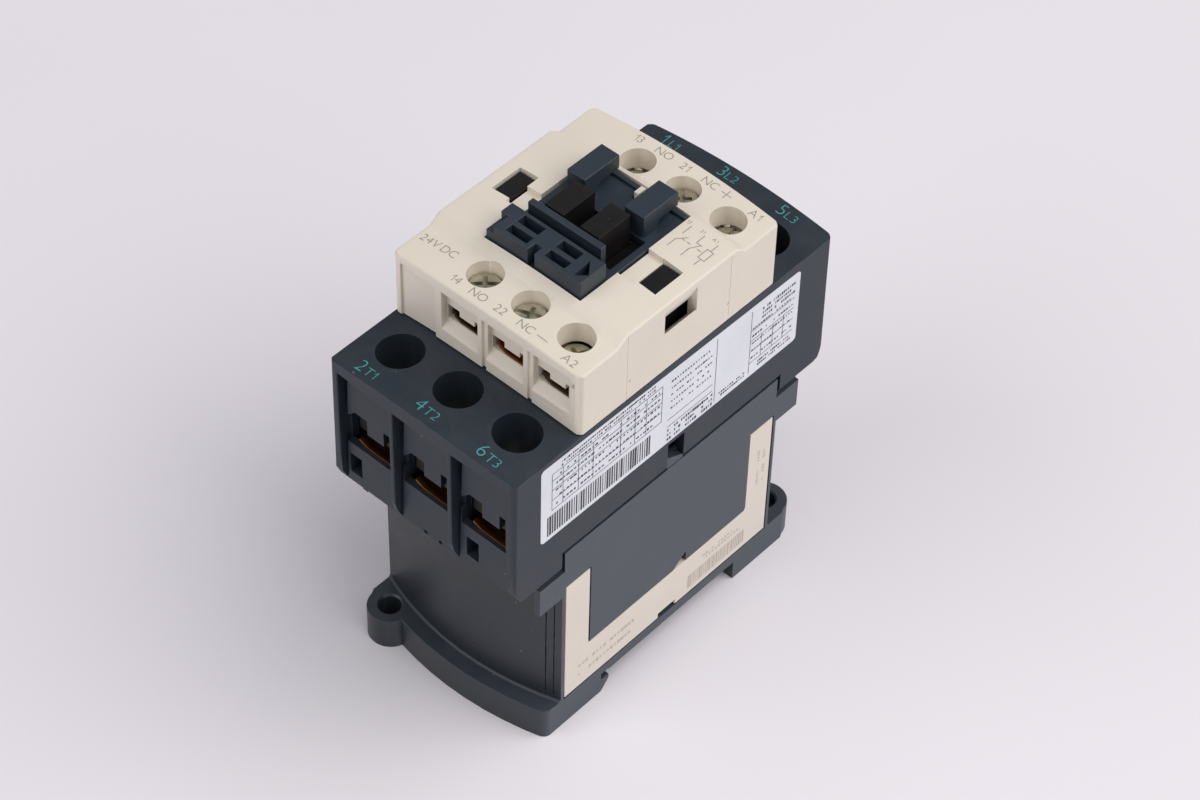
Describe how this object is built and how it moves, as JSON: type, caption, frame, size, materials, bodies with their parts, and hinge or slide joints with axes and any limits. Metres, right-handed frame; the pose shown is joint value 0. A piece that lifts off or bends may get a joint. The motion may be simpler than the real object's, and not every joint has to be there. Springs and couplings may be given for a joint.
{
  "type": "din rail contactor",
  "caption": "Three-pole contactor for a mounting rail: dark contact block on a magnet base, cream front with small terminals and a clip frame, sprung carrier and turning clamp screws.",
  "frame": {"origin": "centre of the bounding box's bottom face, at the plane the two feet stand on", "axes": "+Z out of the front, away from the rail; +Y to the line end; +X to the side with the label"},
  "size_m": [0.045, 0.0862, 0.1003],
  "materials": {
    "housing": "dark blue-grey moulded plastic, fine grain",
    "cream": "cream moulded plastic, fine grain",
    "frame": "dark blue moulded plastic",
    "carrier": "brown-black moulded plastic",
    "copper": "copper, slightly dull",
    "brass": "brass, slightly dull",
    "steel": "zinc-plated steel",
    "laminated": "stacked steel sheet",
    "winding": "enamelled copper wire",
    "bobbin": "black moulded plastic"
  },
  "bodies": {
    "housing": {"magnet_base": "housing", "contact_block": "housing", "front_cover": "cream", "accessory_frame": "frame", "suppressor_module": "cream", "fixed_core": "laminated", "coil_bobbin": "bobbin", "coil_winding": "winding", "return_spring_left": "steel", "return_spring_right": "steel", "load_terminal_1": "copper", "line_terminal_1": "copper", "load_terminal_2": "copper", "line_terminal_2": "copper", "load_terminal_3": "copper", "line_terminal_3": "copper", "contact_14": "brass", "contact_22": "brass", "coil_terminal_a2": "brass", "contact_13": "brass", "contact_21": "brass", "coil_terminal_a1": "brass"},
    "carrier": {"contact_carrier": "carrier", "armature": "laminated", "armature_pin": "steel", "contact_spring_1": "steel", "contact_spring_2": "steel", "contact_spring_3": "steel"},
    "rail_clip": {"rail_clip": "bobbin"},
    "main_bridge_1": {"main_bridge_1": "copper"},
    "main_bridge_2": {"main_bridge_2": "copper"},
    "main_bridge_3": {"main_bridge_3": "copper"},
    "make_bridge": {"make_bridge": "brass"},
    "break_bridge": {"break_bridge": "brass"},
    "load_clamp_1": {"load_clamp_1": "copper"},
    "load_screw_1": {"load_screw_1": "steel"},
    "load_clamp_2": {"load_clamp_2": "copper"},
    "load_screw_2": {"load_screw_2": "steel"},
    "load_clamp_3": {"load_clamp_3": "copper"},
    "load_screw_3": {"load_screw_3": "steel"},
    "line_clamp_1": {"line_clamp_1": "copper"},
    "line_screw_1": {"line_screw_1": "steel"},
    "line_clamp_2": {"line_clamp_2": "copper"},
    "line_screw_2": {"line_screw_2": "steel"},
    "line_clamp_3": {"line_clamp_3": "copper"},
    "line_screw_3": {"line_screw_3": "steel"},
    "small_clamp_14": {"small_clamp_14": "copper"},
    "small_screw_14": {"small_screw_14": "steel"},
    "small_clamp_22": {"small_clamp_22": "copper"},
    "small_screw_22": {"small_screw_22": "steel"},
    "small_clamp_a2": {"small_clamp_a2": "copper"},
    "small_screw_a2": {"small_screw_a2": "steel"},
    "small_clamp_13": {"small_clamp_13": "copper"},
    "small_screw_13": {"small_screw_13": "steel"},
    "small_clamp_21": {"small_clamp_21": "copper"},
    "small_screw_21": {"small_screw_21": "steel"},
    "small_clamp_a1": {"small_clamp_a1": "copper"},
    "small_screw_a1": {"small_screw_a1": "steel"}
  },
  "joints": [
    {"name": "carrier_slide", "type": "slide", "parent": "housing", "child": "carrier", "axis": [0, 0, -1], "range_m": [0, 0.005], "stiffness_N_per_m": 900, "springref_m": -0.006, "deforming": ["return_spring_left", "return_spring_right"]},
    {"name": "rail_clip_slide", "type": "slide", "parent": "housing", "child": "rail_clip", "axis": [0, 1, 0], "range_m": [0, 0.0025], "stiffness_N_per_m": 1500, "springref_m": -0.002},
    {"name": "main_bridge_1_slide", "type": "slide", "parent": "carrier", "child": "main_bridge_1", "axis": [0, 0, 1], "range_m": [0, 0.0015], "deforming": ["contact_spring_1"]},
    {"name": "main_bridge_2_slide", "type": "slide", "parent": "carrier", "child": "main_bridge_2", "axis": [0, 0, 1], "range_m": [0, 0.0015], "deforming": ["contact_spring_2"]},
    {"name": "main_bridge_3_slide", "type": "slide", "parent": "carrier", "child": "main_bridge_3", "axis": [0, 0, 1], "range_m": [0, 0.0015], "deforming": ["contact_spring_3"]},
    {"name": "make_bridge_slide", "type": "slide", "parent": "carrier", "child": "make_bridge", "axis": [0, 0, 1], "range_m": [0, 0.0015]},
    {"name": "break_bridge_slide", "type": "slide", "parent": "carrier", "child": "break_bridge", "axis": [0, 0, 1], "range_m": [0, 0.0015]},
    {"name": "load_clamp_1_slide", "type": "slide", "parent": "housing", "child": "load_clamp_1", "axis": [0, 0, -1], "range_m": [0, 0.0028]},
    {"name": "load_screw_1_turn", "type": "hinge", "parent": "load_clamp_1", "child": "load_screw_1", "pos_m": [-0.0142, -0.0331, 0.0636], "axis": [0, 0, -1], "range_deg": [0, 1440]},
    {"name": "load_clamp_2_slide", "type": "slide", "parent": "housing", "child": "load_clamp_2", "axis": [0, 0, -1], "range_m": [0, 0.0028]},
    {"name": "load_screw_2_turn", "type": "hinge", "parent": "load_clamp_2", "child": "load_screw_2", "pos_m": [0, -0.0331, 0.0636], "axis": [0, 0, -1], "range_deg": [0, 1440]},
    {"name": "load_clamp_3_slide", "type": "slide", "parent": "housing", "child": "load_clamp_3", "axis": [0, 0, -1], "range_m": [0, 0.0028]},
    {"name": "load_screw_3_turn", "type": "hinge", "parent": "load_clamp_3", "child": "load_screw_3", "pos_m": [0.0142, -0.0331, 0.0636], "axis": [0, 0, -1], "range_deg": [0, 1440]},
    {"name": "line_clamp_1_slide", "type": "slide", "parent": "housing", "child": "line_clamp_1", "axis": [0, 0, -1], "range_m": [0, 0.0028]},
    {"name": "line_screw_1_turn", "type": "hinge", "parent": "line_clamp_1", "child": "line_screw_1", "pos_m": [-0.0142, 0.0331, 0.0636], "axis": [0, 0, -1], "range_deg": [0, 1440]},
    {"name": "line_clamp_2_slide", "type": "slide", "parent": "housing", "child": "line_clamp_2", "axis": [0, 0, -1], "range_m": [0, 0.0028]},
    {"name": "line_screw_2_turn", "type": "hinge", "parent": "line_clamp_2", "child": "line_screw_2", "pos_m": [0, 0.0331, 0.0636], "axis": [0, 0, -1], "range_deg": [0, 1440]},
    {"name": "line_clamp_3_slide", "type": "slide", "parent": "housing", "child": "line_clamp_3", "axis": [0, 0, -1], "range_m": [0, 0.0028]},
    {"name": "line_screw_3_turn", "type": "hinge", "parent": "line_clamp_3", "child": "line_screw_3", "pos_m": [0.0142, 0.0331, 0.0636], "axis": [0, 0, -1], "range_deg": [0, 1440]},
    {"name": "small_clamp_14_slide", "type": "slide", "parent": "housing", "child": "small_clamp_14", "axis": [0, 0, -1], "range_m": [0, 0.0024]},
    {"name": "small_screw_14_turn", "type": "hinge", "parent": "small_clamp_14", "child": "small_screw_14", "pos_m": [-0.00593, -0.0199, 0.0892], "axis": [0, 0, -1], "range_deg": [0, 1440]},
    {"name": "small_clamp_22_slide", "type": "slide", "parent": "housing", "child": "small_clamp_22", "axis": [0, 0, -1], "range_m": [0, 0.0024]},
    {"name": "small_screw_22_turn", "type": "hinge", "parent": "small_clamp_22", "child": "small_screw_22", "pos_m": [0.00489, -0.0199, 0.0892], "axis": [0, 0, -1], "range_deg": [0, 1440]},
    {"name": "small_clamp_a2_slide", "type": "slide", "parent": "housing", "child": "small_clamp_a2", "axis": [0, 0, -1], "range_m": [-0.0024, 0]},
    {"name": "small_screw_a2_turn", "type": "hinge", "parent": "small_clamp_a2", "child": "small_screw_a2", "pos_m": [0.01571, -0.0199, 0.0868], "axis": [0, 0, -1], "range_deg": [-1440, 0]},
    {"name": "small_clamp_13_slide", "type": "slide", "parent": "housing", "child": "small_clamp_13", "axis": [0, 0, -1], "range_m": [-0.0024, 0]},
    {"name": "small_screw_13_turn", "type": "hinge", "parent": "small_clamp_13", "child": "small_screw_13", "pos_m": [-0.00593, 0.0199, 0.0868], "axis": [0, 0, -1], "range_deg": [-1440, 0]},
    {"name": "small_clamp_21_slide", "type": "slide", "parent": "housing", "child": "small_clamp_21", "axis": [0, 0, -1], "range_m": [0, 0.0024]},
    {"name": "small_screw_21_turn", "type": "hinge", "parent": "small_clamp_21", "child": "small_screw_21", "pos_m": [0.00489, 0.0199, 0.0892], "axis": [0, 0, -1], "range_deg": [0, 1440]},
    {"name": "small_clamp_a1_slide", "type": "slide", "parent": "housing", "child": "small_clamp_a1", "axis": [0, 0, -1], "range_m": [-0.0024, 0]},
    {"name": "small_screw_a1_turn", "type": "hinge", "parent": "small_clamp_a1", "child": "small_screw_a1", "pos_m": [0.01571, 0.0199, 0.0868], "axis": [0, 0, -1], "range_deg": [-1440, 0]}
  ],
  "couplings": [
    {"joint": "main_bridge_1_slide", "follows": "carrier_slide", "ratio": 0.3},
    {"joint": "main_bridge_2_slide", "follows": "carrier_slide", "ratio": 0.3},
    {"joint": "main_bridge_3_slide", "follows": "carrier_slide", "ratio": 0.3},
    {"joint": "make_bridge_slide", "follows": "carrier_slide", "ratio": 0.3},
    {"joint": "break_bridge_slide", "follows": "carrier_slide", "ratio": 0.3},
    {"joint": "load_screw_1_turn", "follows": "load_clamp_1_slide", "rad_per_m": 8975},
    {"joint": "load_screw_2_turn", "follows": "load_clamp_2_slide", "rad_per_m": 8975},
    {"joint": "load_screw_3_turn", "follows": "load_clamp_3_slide", "rad_per_m": 8975},
    {"joint": "line_screw_1_turn", "follows": "line_clamp_1_slide", "rad_per_m": 8975},
    {"joint": "line_screw_2_turn", "follows": "line_clamp_2_slide", "rad_per_m": 8975},
    {"joint": "line_screw_3_turn", "follows": "line_clamp_3_slide", "rad_per_m": 8975},
    {"joint": "small_screw_14_turn", "follows": "small_clamp_14_slide", "rad_per_m": 10471},
    {"joint": "small_screw_22_turn", "follows": "small_clamp_22_slide", "rad_per_m": 10471},
    {"joint": "small_screw_a2_turn", "follows": "small_clamp_a2_slide", "rad_per_m": 10471},
    {"joint": "small_screw_13_turn", "follows": "small_clamp_13_slide", "rad_per_m": 10471},
    {"joint": "small_screw_21_turn", "follows": "small_clamp_21_slide", "rad_per_m": 10471},
    {"joint": "small_screw_a1_turn", "follows": "small_clamp_a1_slide", "rad_per_m": 10471}
  ]
}
